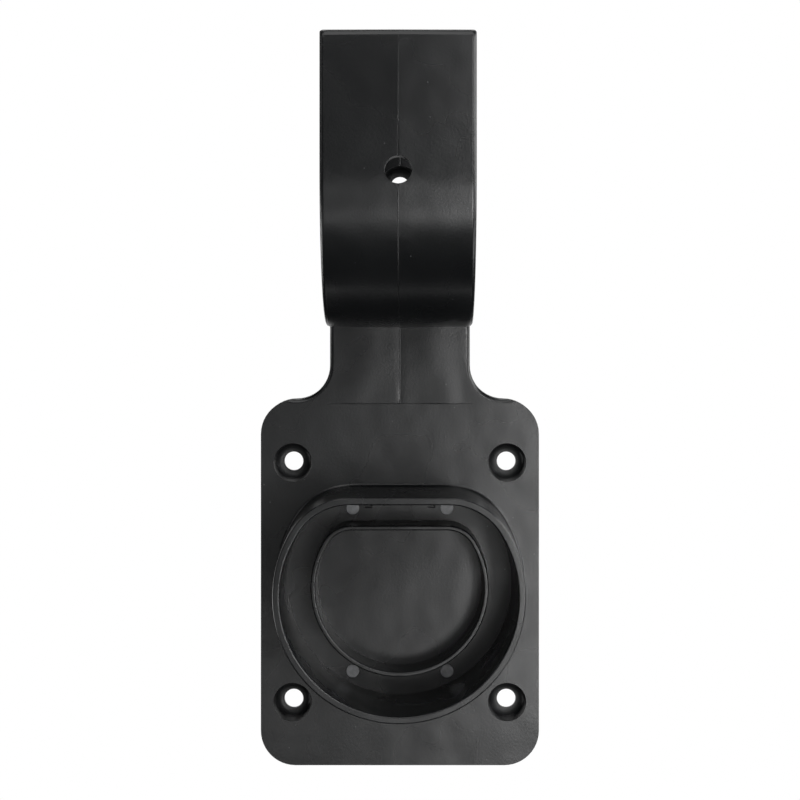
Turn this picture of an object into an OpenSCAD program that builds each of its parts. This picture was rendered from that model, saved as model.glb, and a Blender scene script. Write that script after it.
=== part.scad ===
// Wall holder for the plug and the cable of a vehicle charger.
// One injection moulding: plate, dock, neck, cable hook and rear leg.
// Millimetres. X is to the right, Z is up, the wall is the plane Y = 0 and the front faces -Y.
// The origin is the centre of the four plate screws, on the wall.

/* [Plate] */
// Width of the wall plate
plate_w = 88.2; // [86:0.2:110]
// Height of the wall plate
plate_h = 116; // [110:1:140]
// Thickness from the wall to the front of the plate
plate_t = 7.5; // [6.5:0.5:10]
// Radius of the plate's corners
corner_r = 11; // [8:0.5:14]

/* [Screws] */
// Distance of the plate's screws from each other, across
screw_span_x = 68; // [66:1:70]
// Distance of the plate's screws from each other, upright
screw_span_z = 76; // [72:1:84]
// Diameter of the screw holes
screw_d = 6; // [4:0.5:7]
// Diameter of the recess for a screw head, at the front of the plate
recess_d = 12.2; // [11.5:0.1:13]
// Length of the plain hole under the recess
land_h = 1.2; // [1:0.1:2]

/* [Dock] */
// Radius of the collar's opening at its rim
dock_r = 36; // [34:0.5:38]
// Height of the flat of the opening above the centre of the dock
dock_flat = 27.7; // [26:0.1:29]
// Height of the collar above the plate
dock_h = 32.5; // [20:0.5:40]
// Thickness of the collar at its rim
dock_wall = 2.2; // [1.8:0.1:3]
// Gap between the collar's rim and the inner ring
ring_gap = 8.3; // [7:0.1:10]
// Height of the inner ring above the plate
ring_h = 13; // [8:0.5:18]
// Thickness of the inner ring at its rim
ring_wall = 1.5; // [1.2:0.1:2.5]

/* [Hook] */
// Width of the hook and the neck
hook_w = 44.4; // [36:0.2:48]
// Length of the neck, from the plate to the lowest point of the hook
neck_len = 23; // [20:1:34]
// Outer radius of the hook's bend
bend_r = 45; // [40:1:48]
// Distance of the hook's front face from the front of the plate
hook_reach = 70; // [66:1:76]
// Thickness of the hook along its middle
hook_t = 7; // [6:0.5:9]
// Length of the straight front leg
front_leg = 39.6; // [28:0.2:55]
// Length of the rear leg above its screw hole
rear_leg = 24; // [16:1:40]
// Diameter of the hole that lets a screwdriver through the front leg
driver_d = 7.8; // [7:0.2:10]

/* [Moulding] */
// Slope of the moulded faces, in degrees
draft = 1; // [0.5:0.1:1.5]
// Radius along the side edges of the neck and the hook
edge_r = 1.3; // [0.8:0.1:1.5]
// Thickness of the front skin over the hollows of the back
skin_t = 3; // [2.5:0.1:4]
// Thickness of the outer wall round the hollows of the back
wall_t = 2.8; // [2:0.1:3.5]
// Thickness of the ribs on the back
rib_t = 2; // [1.5:0.1:3]

/* [Hidden] */
$fn = 96;
over = 1;

half_w = hook_w / 2;
half_h = plate_h / 2;
corner_x = plate_w / 2 - corner_r;
shoulder_r = corner_x - half_w;
shoulder_z = half_h + shoulder_r;
ridge_h = (half_w - edge_r) * tan(draft);
parting_z = half_h - edge_r;

bend_out = plate_t + hook_reach - bend_r;
bend_z = half_h + neck_len + bend_r;
bend_in = bend_r - hook_t;
bend_sweep = 90 + asin((bend_out - plate_t + over) / bend_in);
front_top_z = bend_z + front_leg;
rear_top_z = bend_z + rear_leg;
top_r = 2.2;
under_r = 4;
inside_r = 12;
fillet_seat = 0.96;

recess_r = 2.4;
boss_r = recess_d / 2 + 2;
pocket_h = plate_t - skin_t;
rib_pitch = screw_span_z / 4;
rib_rows = floor((rear_top_z + screw_span_z / 2) / rib_pitch);

// The corners' centres lie on triangles of sides 28, 45 and 53, so arcs and flat meet at exact points
dock_unit = (dock_r - dock_flat) / (53 - 28);
dock_corner = dock_unit * [45, 28];
dock_corner_r = dock_r - 53 * dock_unit;
rim_r = 0.5;
base_r = 1;
pin_d = 4.2;
pin_depth = 0.25;
notch_w = 2.4;
notch_depth = 2;

// Height of a point on a circle round the bend's axis, on its lower side towards the wall
function bend_height(r, out) = bend_z - sqrt(r * r - pow(bend_out - out, 2));
// Point on the line from the bend's axis through p, at the distance r from the axis
function bend_ray(p, r) =
    let (axis = [bend_out, bend_z])
    axis + (p - axis) * r / norm(p - axis);

// Sets shapes drawn as (across, up, out from the wall) into the part's frame
module from_wall() {
    rotate([90, 0, 0]) children();
}

// Sets a side view drawn as (out, up) across the width of the hook
module across_hook(w) {
    translate([w / 2, 0, 0]) rotate([0, -90, 0]) linear_extrude(w) children();
}

// Corner region outside a quarter circle, which rounds an edge when it is cut away
module edge_cut(r) {
    difference() {
        square(r + over);
        circle(1.02 * r);
    }
}

module rounded_rect(w, h, r) {
    square([w - 2 * r, h], center = true);
    square([w, h - 2 * r], center = true);
    for (sx = [-1, 1], sz = [-1, 1])
        translate([sx * (w / 2 - r), sz * (h / 2 - r)]) circle(r);
}

// Front view of the part without its hook, drawn smaller all round by inset
module wall_outline(inset) {
    rounded_rect(plate_w - 2 * inset, plate_h - 2 * inset, corner_r - inset);
    translate([-half_w + inset, 0]) square([hook_w - 2 * inset, rear_top_z - inset]);
    difference() {
        translate([-corner_x, half_h - corner_r]) square([2 * corner_x, shoulder_r + corner_r]);
        for (sx = [-1, 1])
            translate([sx * corner_x, shoulder_z]) circle(shoulder_r + inset);
    }
}

// Cross section of neck and rear leg, seen from above: a slight ridge and round front edges
module neck_section() {
    edge_x = half_w - edge_r;
    polygon([
        [-half_w, 0], [half_w, 0], [half_w, plate_t - edge_r], [edge_x, plate_t],
        [0, plate_t + ridge_h], [-edge_x, plate_t], [-half_w, plate_t - edge_r]
    ]);
    for (sx = [-1, 1])
        translate([sx * edge_x, plate_t - edge_r]) circle(edge_r);
}

// Foot of the neck between its two shoulders, seen from above
module foot_section() {
    edge_x = half_w - edge_r;
    polygon([
        [-corner_x, 0], [corner_x, 0], [corner_x, plate_t], [edge_x, plate_t],
        [0, plate_t + ridge_h], [-edge_x, plate_t], [-corner_x, plate_t]
    ]);
}

// Space beside a shoulder: it leaves a hollow curve with a round front edge
module shoulder_cut() {
    rotate_extrude(angle = 110, start = 180)
        difference() {
            translate([0, -over]) square([shoulder_r + edge_r, plate_t + 2 * over]);
            translate([shoulder_r, -2 * over]) square([edge_r + over, plate_t - edge_r + 2 * over]);
            translate([shoulder_r + edge_r, plate_t - edge_r]) circle(edge_r);
        }
}

// Plate, neck and rear leg without their hollows
module spine() {
    difference() {
        union() {
            linear_extrude(plate_t) rounded_rect(plate_w, plate_h, corner_r);
            translate([0, shoulder_z, 0]) rotate([90, 0, 0])
                linear_extrude(shoulder_z - parting_z) foot_section();
        }
        for (sx = [0, 1])
            mirror([sx, 0, 0]) translate([corner_x, shoulder_z, 0]) shoulder_cut();
    }
    translate([0, rear_top_z, 0]) rotate([90, 0, 0])
        linear_extrude(rear_top_z - shoulder_z) neck_section();
}

// Cross section of the hook, drawn as (distance from the bend's axis, across)
module hook_section() {
    edge_x = half_w - edge_r;
    outer = bend_r - ridge_h;
    inner = bend_in + ridge_h;
    polygon([
        [bend_r, 0], [outer, edge_x], [outer - edge_r, half_w],
        [inner + edge_r, half_w], [inner, edge_x], [bend_in, 0],
        [inner, -edge_x], [inner + edge_r, -half_w],
        [outer - edge_r, -half_w], [outer, -edge_x]
    ]);
    for (sx = [-1, 1], r = [inner + edge_r, outer - edge_r])
        translate([r, sx * edge_x]) circle(edge_r);
}

// Round hollow that leaves a fillet of radius r, with the hook's draft and round side edges
module fillet_cut(r) {
    edge_x = half_w - edge_r;
    wide = r + ridge_h + edge_r;
    rotate([0, 90, 0])
        rotate_extrude()
            difference() {
                polygon([
                    [0, -half_w - over], [wide, -half_w - over], [wide, -edge_x],
                    [r + ridge_h, -edge_x], [r, 0], [r + ridge_h, edge_x],
                    [wide, edge_x], [wide, half_w + over], [0, half_w + over]
                ]);
                for (sx = [-1, 1])
                    translate([wide, sx * edge_x]) circle(edge_r);
            }
}

// Fillet at the point c, which fills from the wall's face to the hook's face at the radius inside
module root_fillet(c, r, inside, behind) {
    difference() {
        across_hook(hook_w)
            polygon([
                [plate_t - over, c[1]], c, bend_ray(c, inside),
                [plate_t - over, bend_height(behind, plate_t - over)]
            ]);
        translate([0, c[1], c[0]]) fillet_cut(r);
    }
}

// Cable hook: a straight front leg, a round bend and the fillets where it leaves the wall
module hook() {
    face = plate_t + ridge_h;
    under_seat = fillet_seat * under_r;
    inside_seat = fillet_seat * inside_r;
    under_out = face + under_seat;
    inside_out = face + inside_seat;
    translate([0, bend_z, bend_out]) {
        rotate([-90, -90, 0]) linear_extrude(front_leg) hook_section();
        rotate([180, -90, 0]) rotate_extrude(angle = bend_sweep, start = 0) hook_section();
    }
    root_fillet([under_out, bend_height(bend_r + under_seat, under_out)], under_r,
        bend_r - 2 * over, bend_r - over);
    root_fillet([inside_out, bend_height(bend_in - inside_seat, inside_out)], inside_r,
        bend_in + 2 * over, bend_in + over);
}

// Sets a side view drawn as (out, up) across both halves of the hook, along a face that leans by slope
module across_slopes(out, slope) {
    reach = half_w + over;
    for (sx = [0, 1])
        mirror([sx, 0, 0]) translate([0, 0, out]) rotate([0, slope, 0])
            translate([reach, 0, 0]) rotate([0, -90, 0]) linear_extrude(reach) children();
}

// Rounds the top of a leg: its front edge, its rear edge if there is one, and its two corners
module leg_top_cut(z, front, rear) {
    across_slopes(front, draft)
        translate([-top_r, z - top_r]) edge_cut(top_r);
    if (rear > 0)
        across_slopes(rear, -draft)
            translate([top_r, z - top_r]) mirror([1, 0]) edge_cut(top_r);
    for (sx = [0, 1])
        mirror([sx, 0, 0]) translate([half_w - edge_r, z - edge_r, rear - over])
            linear_extrude(front - rear + 2 * over) edge_cut(edge_r);
}

// Carries a wall section, drawn as (outwards, height), along the dock's outline:
// a large arc, two corner arcs and the flat between them
module along_dock() {
    far = 4 * dock_r;
    out_x = 3 * dock_corner[0];
    out_z = 3 * dock_corner[1];
    intersection() {
        rotate_extrude() translate([dock_r, 0]) children();
        linear_extrude(2 * far, center = true)
            polygon([
                [0, 0], [out_x, out_z], [far, out_z], [far, -far],
                [-far, -far], [-far, out_z], [-out_x, out_z]
            ]);
    }
    for (sx = [0, 1])
        mirror([sx, 0, 0])
            intersection() {
                translate(dock_corner) rotate_extrude() translate([dock_corner_r, 0]) children();
                linear_extrude(2 * far, center = true)
                    polygon([dock_corner, [out_x, out_z], [out_x, far], [dock_corner[0], far]]);
            }
    translate([-dock_corner[0], dock_flat, 0]) rotate([90, 0, 90])
        linear_extrude(2 * dock_corner[0]) children();
}

// Section of a drafted wall with a round rim, whose inner rim edge is at inner
module rim_section(inner, wall, h) {
    foot = (h + over) * tan(draft);
    polygon([
        [inner - foot, -over], [inner, h - rim_r], [inner + rim_r, h],
        [inner + wall - rim_r, h], [inner + wall, h - rim_r], [inner + wall + foot, -over]
    ]);
    for (s = [inner + rim_r, inner + wall - rim_r])
        translate([s, h - rim_r]) circle(rim_r);
}

// Flare outside the foot of a wall, in two steps
module foot_flare(outer) {
    translate([outer, 0])
        polygon(base_r * [
            [-1, -1], [-1, 1.7], [-0.3, 1.7], [0.3, 0.3], [1.7, -0.3], [1.7, -1]
        ]);
}

// Collar and inner ring that hold the nose of the plug
module dock() {
    collar_foot = dock_wall + dock_h * tan(draft);
    translate([0, 0, plate_t]) {
        along_dock() {
            rim_section(0, dock_wall, dock_h);
            foot_flare(collar_foot);
        }
        along_dock() rim_section(-ring_gap - ring_wall, ring_wall, ring_h);
    }
}

// Marks that the moulding tool leaves on the floor between collar and ring
module floor_marks() {
    lane = dock_r - ring_gap / 2;
    pin_x = dock_corner[0];
    translate([0, 0, plate_t - pin_depth])
        for (sx = [-1, 1], z = [dock_flat - ring_gap / 2, -sqrt(lane * lane - pin_x * pin_x)])
            translate([sx * pin_x, z, 0]) cylinder(d = pin_d, h = pin_depth + over);
    translate([0, 0, plate_t - notch_depth])
        for (sx = [-1, 1])
            translate([sx * 2 * dock_corner[0] / 3 - notch_w / 2, dock_flat - ring_gap / 2, 0])
                cube([notch_w, ring_gap / 2 - over, notch_depth + over]);
}

// Screw hole with a bowl for a round screw head, opening towards the front
module screw_hole() {
    bowl_x = recess_d / 2 - recess_r - plate_t * tan(4 * draft);
    bowl_z = land_h + recess_r;
    rotate_extrude() {
        translate([0, -over]) square([screw_d / 2, bowl_z + over]);
        translate([0, land_h]) square([bowl_x, recess_r]);
        translate([bowl_x, bowl_z]) intersection() {
            circle(recess_r);
            translate([-bowl_x, -recess_r]) square([bowl_x + recess_r, recess_r + over]);
        }
        polygon([
            [0, bowl_z], [bowl_x + recess_r, bowl_z], [recess_d / 2, plate_t],
            [recess_d / 2, plate_t + over], [0, plate_t + over]
        ]);
    }
}

// Places of the five screws
module at_screws() {
    for (sx = [-1, 1], sz = [-1, 1])
        translate([sx * screw_span_x / 2, sz * screw_span_z / 2, 0]) children();
    translate([0, bend_z, 0]) children();
}

// Hollows of the back, between the outer wall, the ribs and the screw bosses
module back_hollows() {
    wall_x = half_w - wall_t / 2;
    translate([0, 0, -over])
        linear_extrude(pocket_h + over)
            difference() {
                wall_outline(wall_t);
                at_screws() circle(boss_r);
                for (x = [-wall_x, 0, wall_x])
                    translate([x - rib_t / 2, -half_h]) square([rib_t, plate_h + rear_top_z]);
                for (i = [0 : rib_rows])
                    translate([-plate_w / 2, -screw_span_z / 2 + i * rib_pitch - rib_t / 2])
                        square([plate_w, rib_t]);
            }
}

module holder() {
    color("#232427")
        from_wall()
            difference() {
                union() {
                    spine();
                    hook();
                    dock();
                }
                leg_top_cut(front_top_z, bend_out + bend_r, bend_out + bend_in);
                leg_top_cut(rear_top_z, plate_t + ridge_h, 0);
                back_hollows();
                at_screws() screw_hole();
                floor_marks();
                translate([0, bend_z, bend_out]) cylinder(d = driver_d, h = bend_r + over);
            }
}

holder();
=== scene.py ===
# %% [markdown]
# # A moulded holder for a charging connector
#
# The real object is one injection moulding in black plastic: a wall plate, a collar that docks the connector,
# and a hook above for the cable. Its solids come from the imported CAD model, so nothing is placed by eye.
# This lesson loads that frame, dresses the moulding and lights it as in a product photograph.

# %% Load the frame
import math

import bmesh
import bpy
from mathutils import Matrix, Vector


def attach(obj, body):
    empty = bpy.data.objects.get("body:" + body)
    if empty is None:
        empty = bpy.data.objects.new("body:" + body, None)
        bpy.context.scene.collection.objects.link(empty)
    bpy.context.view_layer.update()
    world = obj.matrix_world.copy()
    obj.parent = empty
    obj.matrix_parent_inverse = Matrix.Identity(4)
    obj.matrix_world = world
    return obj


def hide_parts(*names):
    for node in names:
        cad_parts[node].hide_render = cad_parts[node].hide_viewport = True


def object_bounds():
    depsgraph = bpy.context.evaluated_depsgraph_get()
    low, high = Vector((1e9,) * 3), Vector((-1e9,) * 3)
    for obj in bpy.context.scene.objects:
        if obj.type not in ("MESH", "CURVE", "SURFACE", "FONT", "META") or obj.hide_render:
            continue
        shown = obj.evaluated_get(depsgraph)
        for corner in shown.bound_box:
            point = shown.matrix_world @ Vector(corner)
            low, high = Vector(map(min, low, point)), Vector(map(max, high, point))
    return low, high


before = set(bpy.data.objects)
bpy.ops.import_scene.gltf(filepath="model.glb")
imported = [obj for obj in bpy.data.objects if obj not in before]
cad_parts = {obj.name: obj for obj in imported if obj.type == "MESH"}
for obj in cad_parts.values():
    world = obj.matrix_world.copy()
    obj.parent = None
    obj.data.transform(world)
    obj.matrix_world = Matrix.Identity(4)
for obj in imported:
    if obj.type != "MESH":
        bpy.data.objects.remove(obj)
cad_low, cad_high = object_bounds()
scene = bpy.context.scene
scene.view_settings.view_transform = "Standard"
MM = 0.001
print("CAD box in mm:", [round(side / MM, 2) for side in cad_high - cad_low])

# %% [markdown]
# ## Camera
#
# The photograph was taken square to the wall plate, from about 0.6 m, at the height of the hook's bend. The
# walls of the collar show how far the camera stood from the plate. The picture is a crop of a larger one, so the
# lens axis isn't at its centre. A tilted camera would bend the plate's upright edges together, and a shifted
# one keeps them upright, as they are in the photograph.

# %% Camera
CAMERA_PLACE = Vector((4.5, -623.5, 87.0)) * MM
LENS_MM = 87.4
SHIFT = (-0.0176, -0.115)

camera = bpy.data.objects.new("camera", bpy.data.cameras.new("camera"))
scene.collection.objects.link(camera)
camera.location = CAMERA_PLACE
camera.rotation_euler = (math.pi / 2, 0, 0)
camera.data.lens = LENS_MM
camera.data.shift_x, camera.data.shift_y = SHIFT
scene.camera = camera
print("camera at", [round(c, 4) for c in CAMERA_PLACE])


# %% [markdown]
# ## Colours and nodes
#
# Colours are written as a maker would read them off a chart, in sRGB hex, and a shader works in linear light. One
# function turns the first into the second. A second one adds a node with its settings and links, so that
# a material reads as a list of what it is made of. Two more spread a pattern over a pair of shades or numbers.

# %% Colours and nodes
def linear(hex_colour):
    """The linear RGBA of an sRGB hex colour such as 1a1b1d."""
    parts = [int(hex_colour[i:i + 2], 16) / 255 for i in (0, 2, 4)]
    return [p / 12.92 if p <= 0.04045 else ((p + 0.055) / 1.055) ** 2.4 for p in parts] + [1.0]


def add(tree, kind, links=None, values=None, **settings):
    """A node of that kind, with its settings, the values of its inputs and the sockets linked to them."""
    node = tree.nodes.new(kind)
    for name, value in settings.items():
        setattr(node, name, value)
    for key, value in (values or {}).items():
        node.inputs[key].default_value = value
    for key, socket in (links or {}).items():
        tree.links.new(socket, node.inputs[key])
    return node


def shade(tree, fac, reach, shades):
    """A colour that runs between two hex shades while fac runs through this reach."""
    ramp = add(tree, "ShaderNodeValToRGB", {"Fac": fac})
    for stop, position, colour in zip(ramp.color_ramp.elements, reach, shades):
        stop.position = position
        stop.color = linear(colour)
    return ramp.outputs["Color"]


def span(tree, value, reach, made):
    """A number that runs between the two made values while value runs through this reach."""
    bounds = dict(zip(("From Min", "From Max", "To Min", "To Max"), (*reach, *made)))
    return add(tree, "ShaderNodeMapRange", {"Value": value}, bounds).outputs["Result"]


def per_mm(size):
    """The scale of a texture whose features are size millimetres apart, on coordinates in metres."""
    return 1 / (size * MM)


def new_material(name):
    """An empty node material and its tree."""
    material = bpy.data.materials.new(name)
    material.use_nodes = True
    material.node_tree.nodes.clear()
    return material, material.node_tree


print("1a1b1d in linear light:", [round(c, 4) for c in linear("1a1b1d")])

# %% [markdown]
# ## Moulded black plastic
#
# The plastic is a carbon-black filled nylon or ABS, shot into a steel mould whose walls were spark eroded. That
# gives the eye a satin black: deep in shade, with broad soft highlights that are grey and never sharp. The mould's
# grain is about 0.1 mm, too fine for the photograph, so it is drawn at 0.7 mm with very little height.
# A thick moulding also shrinks unevenly as it cools. Its flats wave by about a tenth of a millimetre, and the
# light drifts over them. A few specks of dust and rubbed spots from handling stand out lighter. The cores that
# form the screw recesses are left rougher than the faces, because nobody sees them once a screw is in. So the
# same plastic is dull there, and one function makes both finishes. The recesses' shades are also set a little
# lighter than the faces': that is painted light, which brightens the shaded bowls.

# %% Moulded black plastic
GRAIN_MM = 0.7
GRAIN_H = 0.03 * MM
WAVE_MM = 14
WAVE_H = 0.3 * MM
WAVE_REACH = (0.25, 0.75)
GRAIN_SHARE = (0.3, 1.0)
DRIFT_MM = 28
DRIFT_REACH = (0.15, 0.85)
SPECK_MM = 5
SPECK_EDGE = (0.02, 0.05)
DUST = "4a4b4c"
PLASTIC_IOR = 1.5


def moulded_plastic(name, shades, gloss):
    """Black plastic, moulded against eroded steel, that drifts between two shades and two roughnesses."""
    material, tree = new_material(name)
    place = add(tree, "ShaderNodeTexCoord").outputs["Object"]
    drift = add(tree, "ShaderNodeTexNoise", {"Vector": place}, {"Scale": per_mm(DRIFT_MM), "Detail": 2.0})
    grain = add(tree, "ShaderNodeTexNoise", {"Vector": place}, {"Scale": per_mm(GRAIN_MM), "Detail": 2.0})
    waves = add(tree, "ShaderNodeTexNoise", {"Vector": place}, {"Scale": per_mm(WAVE_MM), "Detail": 1.0})
    specks = add(tree, "ShaderNodeTexVoronoi", {"Vector": place}, {"Scale": per_mm(SPECK_MM)})
    speck = span(tree, specks.outputs["Distance"], SPECK_EDGE, (1.0, 0.0))
    colour = shade(tree, drift.outputs["Fac"], DRIFT_REACH, shades)
    dusty = add(tree, "ShaderNodeMix", {0: speck, 6: colour}, {7: linear(DUST)}, data_type="RGBA")
    dull = span(tree, drift.outputs["Fac"], DRIFT_REACH, gloss)
    rough = span(tree, waves.outputs["Fac"], WAVE_REACH, GRAIN_SHARE)
    wavy = add(tree, "ShaderNodeBump", {"Height": waves.outputs["Fac"]}, {"Strength": 1.0, "Distance": WAVE_H})
    grainy = add(tree, "ShaderNodeBump",
                 {"Height": grain.outputs["Fac"], "Strength": rough, "Normal": wavy.outputs["Normal"]},
                 {"Distance": GRAIN_H})
    shader = add(tree, "ShaderNodeBsdfPrincipled",
                 {"Base Color": dusty.outputs[2], "Roughness": dull, "Normal": grainy.outputs["Normal"]},
                 {"IOR": PLASTIC_IOR})
    add(tree, "ShaderNodeOutputMaterial", {"Surface": shader.outputs["BSDF"]})
    return material


satin_plastic = moulded_plastic("moulded_black_plastic", ("0d0e0f", "151617"), (0.24, 0.32))
# The recess copy's shades are lighter than the faces': painted light in the shaded screw recesses. Its rougher
# finish is real.
recess_plastic_with_painted_light = moulded_plastic("rough_black_plastic_painted_lighter", ("121314", "191a1b"), (0.46, 0.54))
print("materials:", satin_plastic.name, recess_plastic_with_painted_light.name)

# %% [markdown]
# ## The moulding
#
# Plate, dock, neck and hook are one shot of plastic. The CAD node holds their shape as loose triangles, which
# would show every facet of the bends. A copy is merged into one skin that stands for the node. Its shading is
# smooth across rounds and stays crisp at edges, and large flat faces keep their own direction, so that no round
# smears its shade over a flat.

# %% The moulding
WELD = 0.002 * MM

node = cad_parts["holder"]
skin = bmesh.new()
skin.from_mesh(node.data)
bmesh.ops.remove_doubles(skin, verts=skin.verts, dist=WELD)
bmesh.ops.dissolve_degenerate(skin, edges=skin.edges, dist=WELD)
print("skin:", len(skin.faces), "triangles")

# %% [markdown]
# ## The ends of the legs
#
# The rounds on top of each leg and down its sides are long narrow strips that meet in a mitre at the corners.
# Shading runs from corner to corner of a face, so the turn at a mitre would spread along the whole strip and bend
# its highlight. Cuts close to the mitres keep the turn where it is. They change no shape.

# %% The ends of the legs
HOOK_LOW_Z = 100
MITRE_X = 20.2
MITRES_Z = (147.4, 163.0)


def cut(faces, point, normal):
    """Cuts these faces of the skin along the plane through a point in mm."""
    parts = {part for face in faces for part in (face, *face.edges, *face.verts)}
    bmesh.ops.bisect_plane(skin, geom=list(parts), dist=WELD, plane_no=normal, plane_co=Vector(point) * MM)


def hook_faces():
    """The faces of both legs, down into the bend."""
    return [face for face in skin.faces if face.calc_center_median().z > HOOK_LOW_Z * MM]


for x in (-MITRE_X, MITRE_X):
    cut(hook_faces(), (x, 0, 0), (1, 0, 0))
for z in MITRES_Z:
    cut(hook_faces(), (0, 0, z), (0, 0, 1))
print("hook:", len(hook_faces()), "faces")

# %% [markdown]
# ## The neck's sunk middle
#
# A rib stands behind the middle of the neck. Thick plastic cools last and shrinks most, so the face has sunk along
# the rib, and each half of the neck is slightly crowned. The photograph shows it as a bright and a dark side
# of the seam. Towards the plate the crown gets lower and its top lies further out. The face is cut into strips and
# rows, and their corners move by a quarter of a millimetre at most.

# %% The neck's sunk middle
PLATE_T = 7.5
NECK_LOW_Z, NECK_HIGH_Z = 56.7, 84.0
NECK_X = 20.9
NECK_STRIPS = 12
NECK_ROW = 1.5
FACES_FRONT = -0.999
CROWN_H = (0.15, 0.22)
CROWN_TOP = (0.7, 0.5)
CROWN_RUN = 16.0


def crown(x, z):
    """How far the neck's face stands before the plate's, in mm, at x mm from the seam and at height z."""
    up = math.sin(math.pi / 2 * max(0, min(1, (z - NECK_LOW_Z) / CROWN_RUN))) ** 2
    height, top = (low + (high - low) * up for low, high in (CROWN_H, CROWN_TOP))
    across = (min(abs(x), NECK_X) / NECK_X) ** (math.log(0.5) / math.log(top))
    return height * math.sin(math.pi * across) ** 2


def is_neck(face):
    """True for the front of the neck."""
    middle = face.calc_center_median() / MM
    inside = NECK_LOW_Z < middle.z < NECK_HIGH_Z and abs(middle.x) < NECK_X
    return inside and face.normal.y < FACES_FRONT and middle.y < -PLATE_T


def neck_faces():
    """The faces of the neck's front."""
    return [face for face in skin.faces if is_neck(face)]


def sink_neck():
    """Cuts the neck's face into strips and rows, and sets them on the crowned line."""
    skin.normal_update()
    for i in range(1 - NECK_STRIPS, NECK_STRIPS):
        cut(neck_faces(), (i * NECK_X / NECK_STRIPS, 0, 0), (1, 0, 0))
    for i in range(1, round((NECK_HIGH_Z - NECK_LOW_Z) / NECK_ROW)):
        cut(neck_faces(), (0, 0, NECK_LOW_Z + i * NECK_ROW), (0, 0, 1))
    verts = {vert for face in neck_faces() for vert in face.verts}
    for vert in verts:
        vert.co.y = -(PLATE_T + crown(vert.co.x / MM, vert.co.z / MM)) * MM
    return len(verts)


print("corners of the neck's face:", sink_neck())

# %% [markdown]
# ## The screw recesses
#
# Five screws hold the part to the wall, and each has a recess for its head. There the finish is rougher, which is
# real, and the shades are lighter, which is painted light in the shaded bowls. So the faces round each screw's axis
# take the second material. Faces of one skin can do that without being cut loose.

# %% The screw recesses
SCREWS = [(-34, -38), (34, -38), (-34, 38), (34, 38), (0, 126)]
RECESS_R = (3.02, 6.05)
RECESS_Y = (-9.0, -0.05)


def in_recess(face):
    """True for the bowl of a screw's recess."""
    middle = face.calc_center_median() / MM
    near = any(RECESS_R[0] < math.hypot(middle.x - x, middle.z - z) < RECESS_R[1] for x, z in SCREWS)
    return near and RECESS_Y[0] < middle.y < RECESS_Y[1]


for face in skin.faces:
    face.material_index = 1 if in_recess(face) else 0
print("recess faces:", sum(face.material_index for face in skin.faces))

# %% [markdown]
# ## Crisp and smooth edges
#
# An edge sharper than any facet of a round is a real edge and stays crisp. So does the shallow ridge down the
# middle of hook and neck, where the slopes of the mould's halves meet.

# %% Crisp and smooth edges
CRISP_ANGLE = math.radians(55)
RIDGE_X = 0.01 * MM
RIDGE_ANGLE = (math.radians(0.3), math.radians(8))
RIDGE_TOP = 164 * MM


def is_ridge(edge):
    """True along the middle of hook and neck, where the two shallow slopes of the mould's halves meet."""
    on_middle = all(abs(vert.co.x) < RIDGE_X and vert.co.z < RIDGE_TOP for vert in edge.verts)
    return on_middle and RIDGE_ANGLE[0] < edge.calc_face_angle(0) < RIDGE_ANGLE[1]


ridge = [edge for edge in skin.edges if is_ridge(edge)]
for edge in skin.edges:
    edge.smooth = len(edge.link_faces) == 2 and edge.calc_face_angle() < CRISP_ANGLE
for edge in ridge:
    edge.smooth = False
for face in skin.faces:
    face.smooth = True
print("ridge:", len(ridge), "edges")

# %% [markdown]
# ## The seam's course
#
# The hook was moulded between two steel halves that met on its middle plane. A hair of plastic crept between them
# and left a raised line down the hook and the neck. Its course is already in the skin, as the ridge where the
# halves' slopes meet, so the path is taken from those edges. The ridge itself goes down by the height of the line,
# and the finished line ends level with the CAD model.

# %% The seam's course
SEAM_R = 0.20 * MM
SEAM_H = 0.07 * MM


def seam_course(edges):
    """A wire mesh along the ridge edges, sunk so that a round line on it stands proud by the seam's height."""
    skin.normal_update()
    verts = list(dict.fromkeys(vert for edge in edges for vert in edge.verts))
    number = {vert: i for i, vert in enumerate(verts)}
    for vert in verts:
        vert.co -= vert.normal * SEAM_H
    points = [vert.co - vert.normal * (SEAM_R - SEAM_H) for vert in verts]
    wire = bpy.data.meshes.new("seam_course")
    wire.from_pydata(points, [[number[vert] for vert in edge.verts] for edge in edges], [])
    return wire


seam_wire = seam_course(ridge)
print("seam course:", len(seam_wire.vertices), "points")

# %% [markdown]
# ## The skin's shading
#
# Smooth shading averages the faces round each corner, and a small round would then tint the whole flat beside it.
# A Weighted Normal modifier helps, but long thin triangles still fool it. Here the faces of one plane
# first add up their areas. A corner beside a flat takes the flat's direction, and between two flats it leans to the
# larger. Any other corner takes the mean of its smooth neighbours, each by its angle there.

# %% The skin's shading
PLANE_ANGLE = math.radians(0.05)
FLAT_AREA = 3 * MM ** 2


def planes_of(mesh):
    """For each face, the first face and the area of the plane that it is part of."""
    planes = {}
    for start in mesh.faces:
        if start in planes:
            continue
        plane, todo = {start}, [start]
        while todo:
            for edge in todo.pop().edges:
                if len(edge.link_faces) == 2 and edge.calc_face_angle() < PLANE_ANGLE:
                    found = set(edge.link_faces) - plane
                    plane |= found
                    todo.extend(found)
        planes.update(dict.fromkeys(plane, (start.index, sum(face.calc_area() for face in plane))))
    return planes


def smooth_groups(vert):
    """The faces round a vertex, parted into groups at its crisp edges."""
    left = set(vert.link_faces)
    while left:
        group, todo = set(), [left.pop()]
        while todo:
            face = todo.pop()
            group.add(face)
            for edge in face.edges:
                if vert in edge.verts and edge.smooth:
                    found = set(edge.link_faces) & left
                    left -= found
                    todo.extend(found)
        yield group


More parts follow.
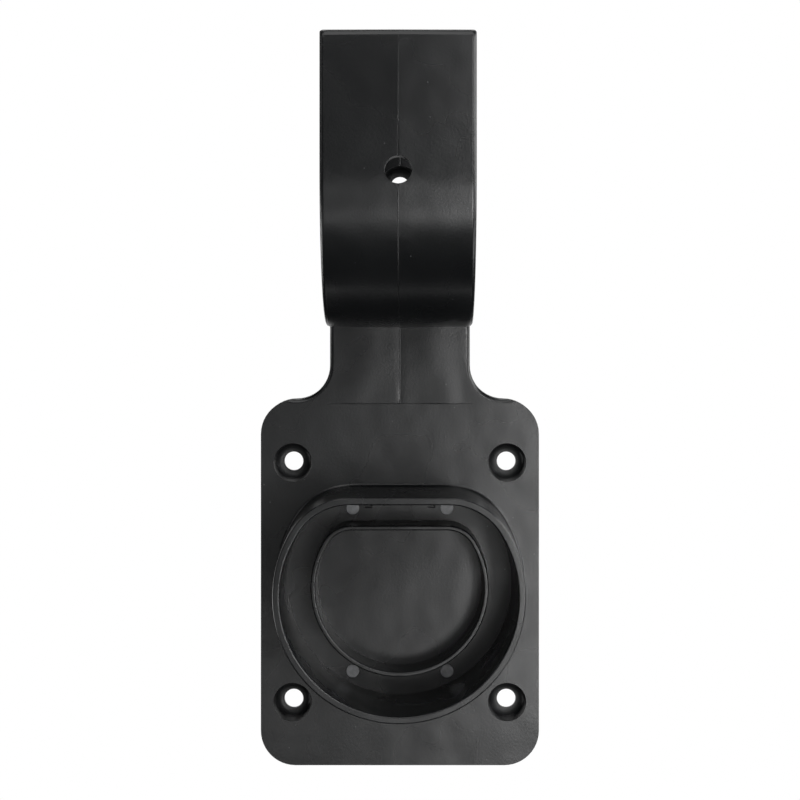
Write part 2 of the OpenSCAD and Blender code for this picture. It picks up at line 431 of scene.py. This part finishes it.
def shared_normal(group, planes, angles):
    """A smooth group's normal: each flat counts once, by its area, and each small facet by its angle."""
    flats = {planes[face]: face.normal for face in group if planes[face][1] > FLAT_AREA}
    small = [face for face in group if planes[face][1] <= FLAT_AREA]
    total = sum((normal * area ** 2 for (_, area), normal in flats.items()), Vector())
    return sum((face.normal * angles[face] * FLAT_AREA ** 2 for face in small), total).normalized()


def corner_normals(mesh):
    """A shading normal for each corner, in the order of the mesh's loops."""
    mesh.normal_update()
    mesh.faces.index_update()
    planes = planes_of(mesh)
    lean = {}
    for vert in mesh.verts:
        angles = {loop.face: loop.calc_angle() for loop in vert.link_loops}
        for group in smooth_groups(vert):
            normal = shared_normal(group, planes, angles)
            lean.update({(face.index, vert): normal for face in group})
    return [lean[face.index, loop.vert] for face in mesh.faces for loop in face.loops]


normals = corner_normals(skin)
shell_mesh = bpy.data.meshes.new("moulding")
skin.to_mesh(shell_mesh)
skin.free()
shell_mesh.normals_split_custom_set(normals)
shell_mesh.materials.append(satin_plastic)
shell_mesh.materials.append(recess_plastic_with_painted_light)


def object_of(mesh):
    """A new object that shows this mesh."""
    made = bpy.data.objects.new(mesh.name, mesh)
    scene.collection.objects.link(made)
    return made


moulding = object_of(shell_mesh)
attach(moulding, "root")
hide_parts("holder")
print("moulding:", len(moulding.data.polygons), "faces")

# %% [markdown]
# ## The parting lines
#
# A line follows a path, which is Geometry Nodes' own trade: the wire becomes a curve, and a small circle is swept
# along it. The same tree draws both moulding lines, with its radius as the only input. The seam runs down
# hook and neck. It ends on a second line across the foot of the neck, where a third block of the mould closed.

# %% The parting lines
FOOT_LINE_X = 23
BEAD_SIDES = 10


def new_tree(name, **inputs):
    """A Geometry Nodes tree with these named number inputs, its input node and the identifiers of its inputs."""
    tree = bpy.data.node_groups.new(name, "GeometryNodeTree")
    tree.interface.new_socket("Geometry", in_out="OUTPUT", socket_type="NodeSocketGeometry")
    tree.interface.new_socket("Geometry", in_out="INPUT", socket_type="NodeSocketGeometry")
    keys = {}
    for key, value in inputs.items():
        socket = tree.interface.new_socket(key, in_out="INPUT", socket_type="NodeSocketFloat")
        keys[socket.identifier] = value
    return tree, tree.nodes.new("NodeGroupInput"), keys


def close_tree(tree, geometry, material):
    """Ends a tree: plain geometry, with its material."""
    plain = add(tree, "GeometryNodeRealizeInstances", {"Geometry": geometry})
    painted = add(tree, "GeometryNodeSetMaterial", {"Geometry": plain.outputs[0]}, {"Material": material})
    add(tree, "NodeGroupOutput", {0: painted.outputs[0]})


def grown(name, mesh, tree, keys):
    """Adds the plain mesh that a tree makes from this mesh, as a piece that rides on the part."""
    source = object_of(mesh)
    modifier = source.modifiers.new(name, "NODES")
    modifier.node_group = tree
    for identifier, value in keys.items():
        modifier[identifier] = value
    ready = source.evaluated_get(bpy.context.evaluated_depsgraph_get())
    piece = object_of(bpy.data.meshes.new_from_object(ready))
    bpy.data.objects.remove(source)
    piece.name = piece.data.name = name
    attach(piece, "root")
    print(name + ":", len(piece.data.polygons), "faces")


def bead_tree(material):
    """A round bead swept along every chain of edges."""
    tree, given, keys = new_tree("moulding_line", Radius=SEAM_R)
    course = add(tree, "GeometryNodeMeshToCurve", {"Mesh": given.outputs["Geometry"]})
    ring = add(tree, "GeometryNodeCurvePrimitiveCircle",
               {"Radius": given.outputs["Radius"]}, {"Resolution": BEAD_SIDES})
    bead = add(tree, "GeometryNodeCurveToMesh",
               {"Curve": course.outputs[0], "Profile Curve": ring.outputs[0]}, {"Fill Caps": True})
    close_tree(tree, bead.outputs[0], material)
    return tree, keys


def foot_course():
    """A wire mesh across the foot of the neck, as deep in the skin as the seam."""
    sunk = SEAM_R - SEAM_H
    points = [(x * MM, sunk - (PLATE_T + crown(x, NECK_LOW_Z)) * MM, NECK_LOW_Z * MM)
              for x in range(-FOOT_LINE_X, FOOT_LINE_X + 1)]
    wire = bpy.data.meshes.new("foot_course")
    wire.from_pydata(points, [(i, i + 1) for i in range(len(points) - 1)], [])
    return wire


line_tree, line_keys = bead_tree(satin_plastic)
grown("parting_seam", seam_wire, line_tree, line_keys)
grown("foot_line", foot_course(), line_tree, line_keys)

# %% [markdown]
# ## Ejector marks
#
# Four steel pins pushed the moulding out of its mould and left round marks on the dock's floor. They show lighter
# than the floor, so they are coloured a mottled light grey, and their polished ends gave them another finish. Each
# is a low disc with a chamfered edge, set on the four points by an instance.

# %% Ejector marks
PIN_R = 2.1 * MM
PIN_SEAT = 7.25 * MM
PIN_H = 0.35 * MM
PIN_CHAMFER = 0.12 * MM
PIN_X = 14.94 * MM
PIN_TOP_Z = 23.55 * MM
PIN_LOW_Z = -28.13 * MM
PIN_SIDES = 48
PIN_MARK_MOTTLE_MM = 1.6
PIN_MARK_REACH = (0.35, 0.7)
# A light grey for the pin marks, lighter than the dock's floor around them.
PIN_MARK_SHADES = ("6c6d6f", "858688")
PIN_MARK_ROUGHNESS = 0.4


def pale_pin_mark_plastic():
    """Black plastic under an ejector pin, coloured a mottled light grey, with a roughness of its own."""
    material, tree = new_material("pale_grey_pin_mark_plastic")
    place = add(tree, "ShaderNodeTexCoord").outputs["Object"]
    mottle = add(tree, "ShaderNodeTexNoise", {"Vector": place}, {"Scale": per_mm(PIN_MARK_MOTTLE_MM), "Detail": 3.0})
    colour = shade(tree, mottle.outputs["Fac"], PIN_MARK_REACH, PIN_MARK_SHADES)
    shader = add(tree, "ShaderNodeBsdfPrincipled", {"Base Color": colour},
                 {"IOR": PLASTIC_IOR, "Roughness": PIN_MARK_ROUGHNESS})
    add(tree, "ShaderNodeOutputMaterial", {"Surface": shader.outputs["BSDF"]})
    return material


def pin_tree(material):
    """A chamfered disc that faces the front, on every point."""
    tree, given, keys = new_tree("ejector_marks", Radius=PIN_R, Chamfer=PIN_CHAMFER, Height=PIN_H)
    top = add(tree, "ShaderNodeMath", {0: given.outputs["Radius"], 1: given.outputs["Chamfer"]},
              operation="SUBTRACT")
    disc = add(tree, "GeometryNodeMeshCone",
               {"Radius Top": top.outputs[0], "Radius Bottom": given.outputs["Radius"],
                "Depth": given.outputs["Height"]}, {"Vertices": PIN_SIDES})
    marks = add(tree, "GeometryNodeInstanceOnPoints",
                {"Points": given.outputs["Geometry"], "Instance": disc.outputs["Mesh"]},
                {"Rotation": (math.pi / 2, 0, 0)})
    close_tree(tree, marks.outputs[0], material)
    return tree, keys


pin_points = bpy.data.meshes.new("pin_points")
pin_places = [(x, -PIN_SEAT, z) for x in (-PIN_X, PIN_X) for z in (PIN_TOP_Z, PIN_LOW_Z)]
pin_points.from_pydata(pin_places, [], [])
grown("ejector_marks", pin_points, *pin_tree(pale_pin_mark_plastic()))

# %% [markdown]
# ## Floor and background
#
# A product photograph stands its subject before plain white. The world and the floor are white to the camera
# alone, through the light path. The plastic itself still reflects a dim studio, which keeps it black. The floor
# lies below the picture and keeps a part of its own shade, so the object's shadow still falls on it. Under so much
# soft light, and so far down, that shadow is too faint to see. The floor's own light doesn't reach the object,
# because the underside of the hook is dark in the photograph.

# %% Floor and background
FLOOR_DROP = 0.35
FLOOR_R = 1.2
FLOOR_SIDES = 128
FLOOR_WHITE = 0.93
PAPER = "e4e4e2"
STUDIO_GREY = "040404"


def white_to_camera(tree, other, share=1.0):
    """White, by this share, where the camera looks straight at it, and the other shader to every other ray."""
    path = add(tree, "ShaderNodeLightPath")
    seen = add(tree, "ShaderNodeMath", {0: path.outputs["Is Camera Ray"]}, {1: share}, operation="MULTIPLY")
    white = add(tree, "ShaderNodeEmission", values={"Color": linear("ffffff"), "Strength": 1.0})
    mixed = add(tree, "ShaderNodeMixShader", {0: seen.outputs[0], 1: other, 2: white.outputs[0]})
    return mixed.outputs[0]


def pale_floor():
    """Matt white studio paper."""
    material, tree = new_material("studio_paper")
    paper = add(tree, "ShaderNodeBsdfDiffuse", values={"Color": linear(PAPER)})
    add(tree, "ShaderNodeOutputMaterial", {"Surface": white_to_camera(tree, paper.outputs[0], FLOOR_WHITE)})
    return material


bpy.ops.mesh.primitive_circle_add(vertices=FLOOR_SIDES, radius=FLOOR_R, fill_type="NGON",
                                  location=(0, 0, cad_low.z - FLOOR_DROP))
floor = bpy.context.object
floor.name = "floor"
floor.data.materials.append(pale_floor())
floor.visible_glossy = False
floor.visible_diffuse = False
floor.visible_shadow = False

world = bpy.data.worlds.new("studio")
scene.world = world
world.use_nodes = True
world.node_tree.nodes.clear()
dim = add(world.node_tree, "ShaderNodeBackground", values={"Color": linear(STUDIO_GREY), "Strength": 1.0})
add(world.node_tree, "ShaderNodeOutputWorld", {"Surface": white_to_camera(world.node_tree, dim.outputs[0])})
print("floor at z", round(floor.location.z, 3))

# %% [markdown]
# ## Lights
#
# The photograph's light comes mostly from the right of the camera: the plate brightens towards the right and the
# foot, and the hook's bend has one light band with a clear lower edge. Panels at the right draw the bright line
# down the hook's edge, a low one at the left the lines on the collar's rim, and strips overhead the band on top of
# the leg. The front light is a softbox of small cells, each with its own strength. The real studio isn't known, so
# places and strengths were fitted until the part's tones came near the photograph's. Dim panels behind the part
# stay out of the photograph, and show its back when it is turned.

# %% Lights
AIM = Vector((0, -0.02, 0.03))
REACH = 0.5
CELL = (0.087, 0.087)
PANEL = (0.17, 0.176)
STRIP = (0.364, 0.132)
BACK_PANEL = (0.4, 0.4)
BACK_REACH = 0.7
FRONT_CELLS = [
    (20, -10, 25.8), (20, 0, 9.3), (20, 20, 10.6), (10, -20, 5.8), (10, 0, 3.2), (10, 20, 1.4), (0, -20, 1.1),
    (0, 0, 0.6), (-10, -20, 1.7), (-10, 0, 1.0), (-20, -20, 0.5), (-20, 30, 1.8), (-10, 30, 0.8), (-30, 30, 0.5),
    (20, 30, 0.7), (30, 30, 1.5), (40, 30, 1.3), (40, 20, 0.9),
]
SIDE_PANELS = [
    (60, 25, 7.5), (80, 25, 1.7), (100, 25, 4.4), (60, 5, 0.9), (80, 5, 6.6), (120, 5, 0.7), (80, -15, 2.5),
    (60, -35, 3.2), (80, -35, 1.2), (-90, -15, 6.5), (-110, -15, 3.5), (-70, 25, 1.1), (-90, 5, 0.6),
    (-45, -20, 0.8),
]
TOP_STRIPS = [(0, 42, 1.0), (0, 50, 1.7), (0, 65, 1.6), (0, 80, 1.6), (0, -100, 1.0)]
BACK_PANELS = [(180, -8, 0.7), (150, 8, 1.2), (-150, 8, 1.2), (180, 50, 1.6)]


def softbox(name, azimuth, elevation, distance, size, radiance):
    """A soft rectangular light that faces the object, from angles off the camera's axis in degrees."""
    data = bpy.data.lights.new(name, "AREA")
    data.shape = "RECTANGLE"
    data.size, data.size_y = size
    data.energy = radiance * math.pi * data.size * data.size_y
    light = bpy.data.objects.new(name, data)
    scene.collection.objects.link(light)
    a, e = math.radians(azimuth), math.radians(elevation)
    away = Vector((math.sin(a) * math.cos(e), -math.cos(a) * math.cos(e), math.sin(e)))
    light.location = AIM + away * distance
    light.rotation_euler = away.to_track_quat("Z", "Y").to_euler()
    return data.energy


groups = (("cell", FRONT_CELLS, REACH, CELL), ("panel", SIDE_PANELS, REACH, PANEL),
          ("strip", TOP_STRIPS, REACH, STRIP), ("back", BACK_PANELS, BACK_REACH, BACK_PANEL))
for name, rows, distance, size in groups:
    watts = sum(softbox(name, a, e, distance, size, radiance) for a, e, radiance in rows)
    print(name + ":", len(rows), "lights,", round(watts, 2), "W")
